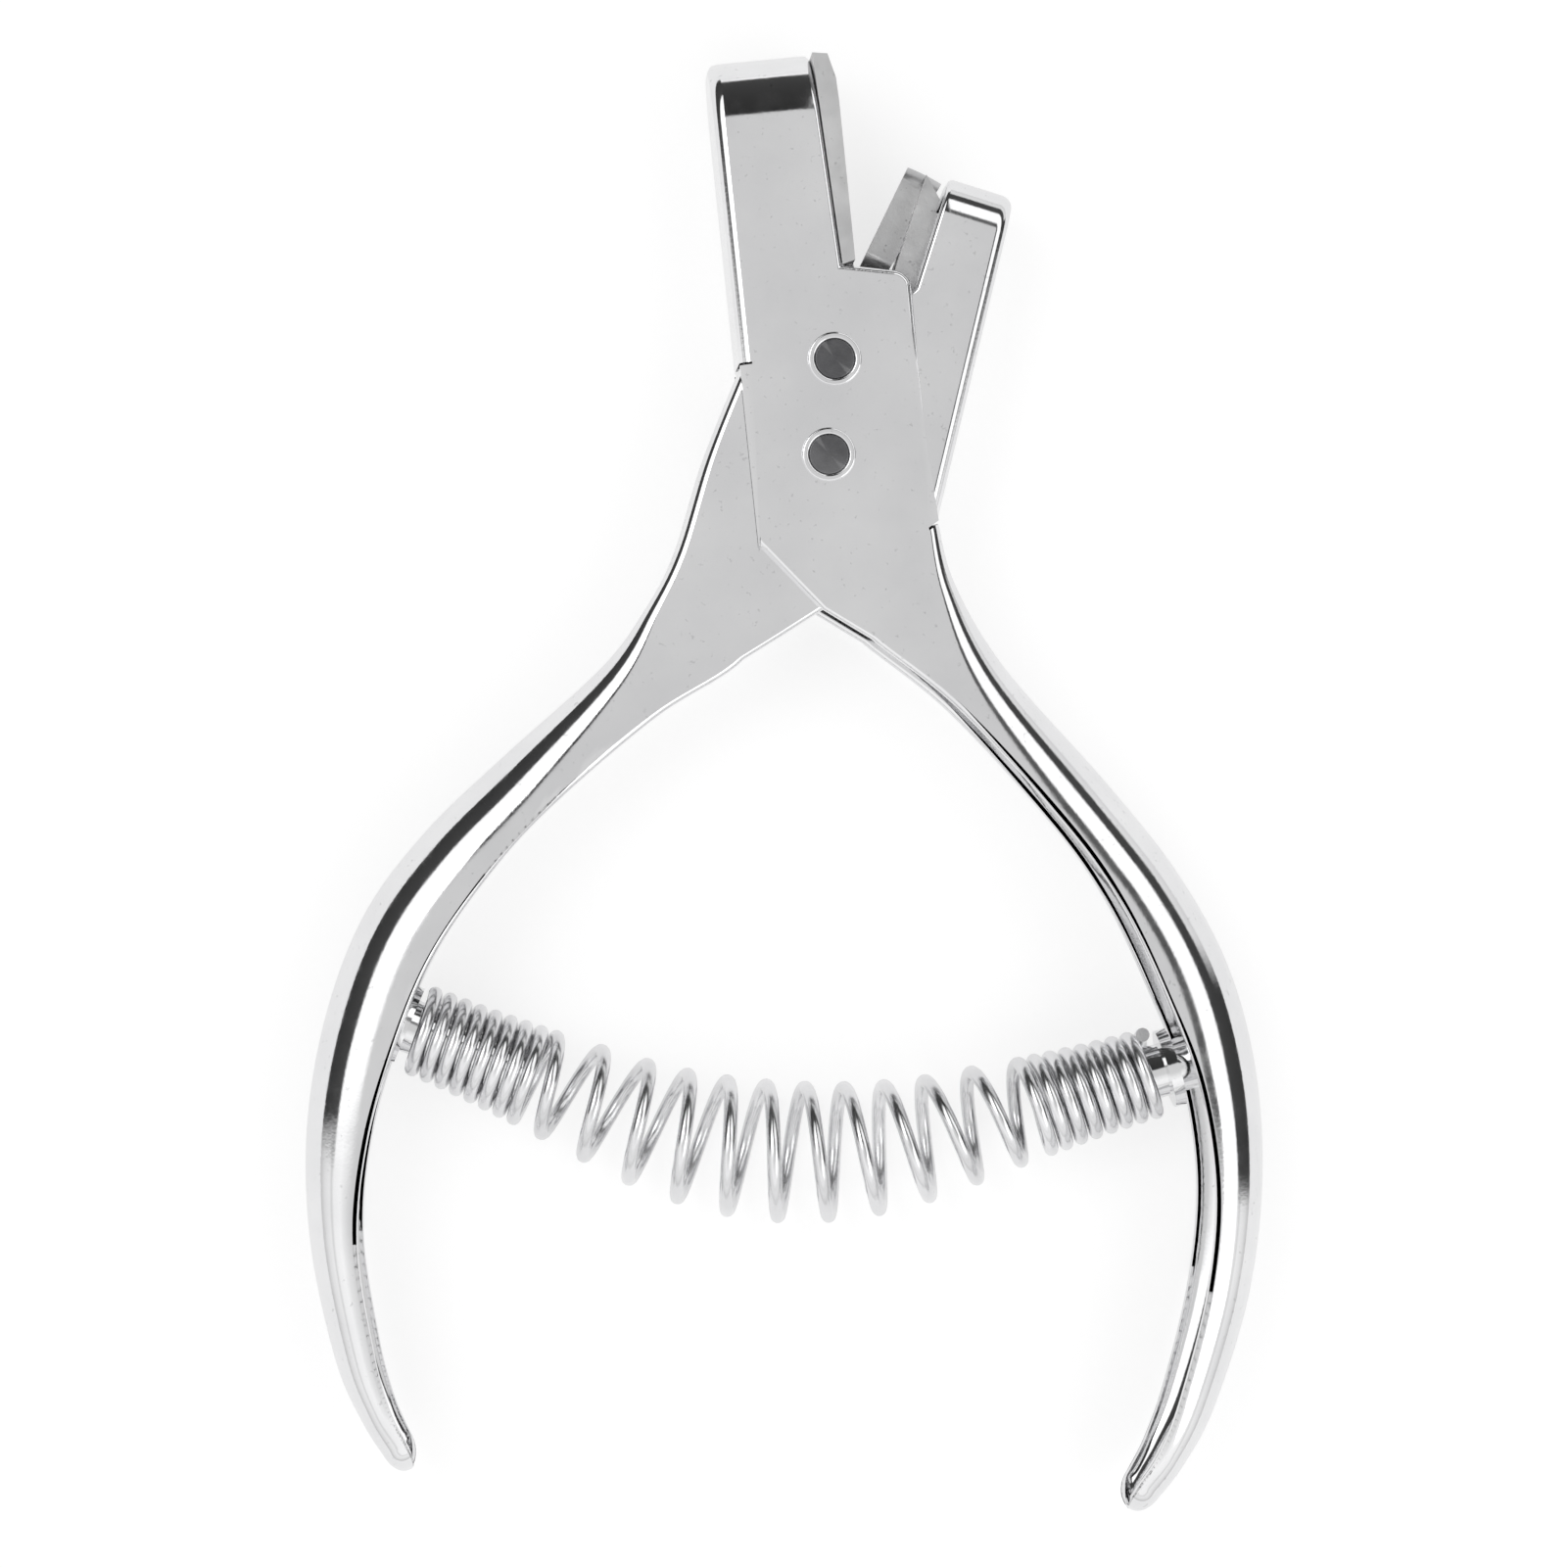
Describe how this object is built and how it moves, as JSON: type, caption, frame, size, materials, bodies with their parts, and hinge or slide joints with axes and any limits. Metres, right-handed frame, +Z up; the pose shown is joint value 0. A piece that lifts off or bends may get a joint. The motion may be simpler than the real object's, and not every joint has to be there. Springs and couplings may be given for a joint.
{
  "type": "hand slot punch pliers",
  "caption": "Spring-opened hand pliers of folded sheet steel with a slot punch in one jaw and a slotted die plate in the other.",
  "frame": {"origin": "on the pivot axis, in the plane of the rear pivot pin's flat end, which is the lowest point of the tool lying on its side", "axes": "+X to the right across the handles, towards the die lever's handle; +Y along the tool's centreline from the handle tips to the jaws; +Z up through the thickness, from the rear plates to the front plates"},
  "size_m": [0.1013, 0.1519, 0.0158],
  "materials": {
    "plated_steel": "bright nickel plate, fine drawing lines, small specks along the bends",
    "pin_steel": "dark unplated steel with scratches",
    "tool_steel": "dull ground steel, mottled",
    "die_steel": "dark satin ground steel",
    "spring_wire": "bright plated spring wire"
  },
  "bodies": {
    "die_side": {"die_lever": "plated_steel", "pivot_pin": "pin_steel", "pivot_collars": "plated_steel", "pivot_sleeve": "tool_steel", "pivot_washers": "tool_steel", "stop_pin": "pin_steel", "stop_collars": "plated_steel", "stop_sleeve": "tool_steel", "die_plate": "die_steel", "die_block": "die_steel", "die_screws": "pin_steel", "handle_spring": "spring_wire", "spring_peg_right": "plated_steel"},
    "punch_side": {"punch_lever": "plated_steel", "punch_holder": "tool_steel", "punch": "tool_steel", "holder_screws": "pin_steel", "spring_peg_left": "plated_steel"}
  },
  "joints": [
    {"name": "lever_pivot", "type": "hinge", "parent": "die_side", "child": "punch_side", "pos_m": [0, 0, 0], "axis": [0, 0, 1], "range_deg": [0, 23], "stiffness_Nm_per_rad": 0.8, "springref_deg": -14.32, "deforming": ["handle_spring"]}
  ]
}
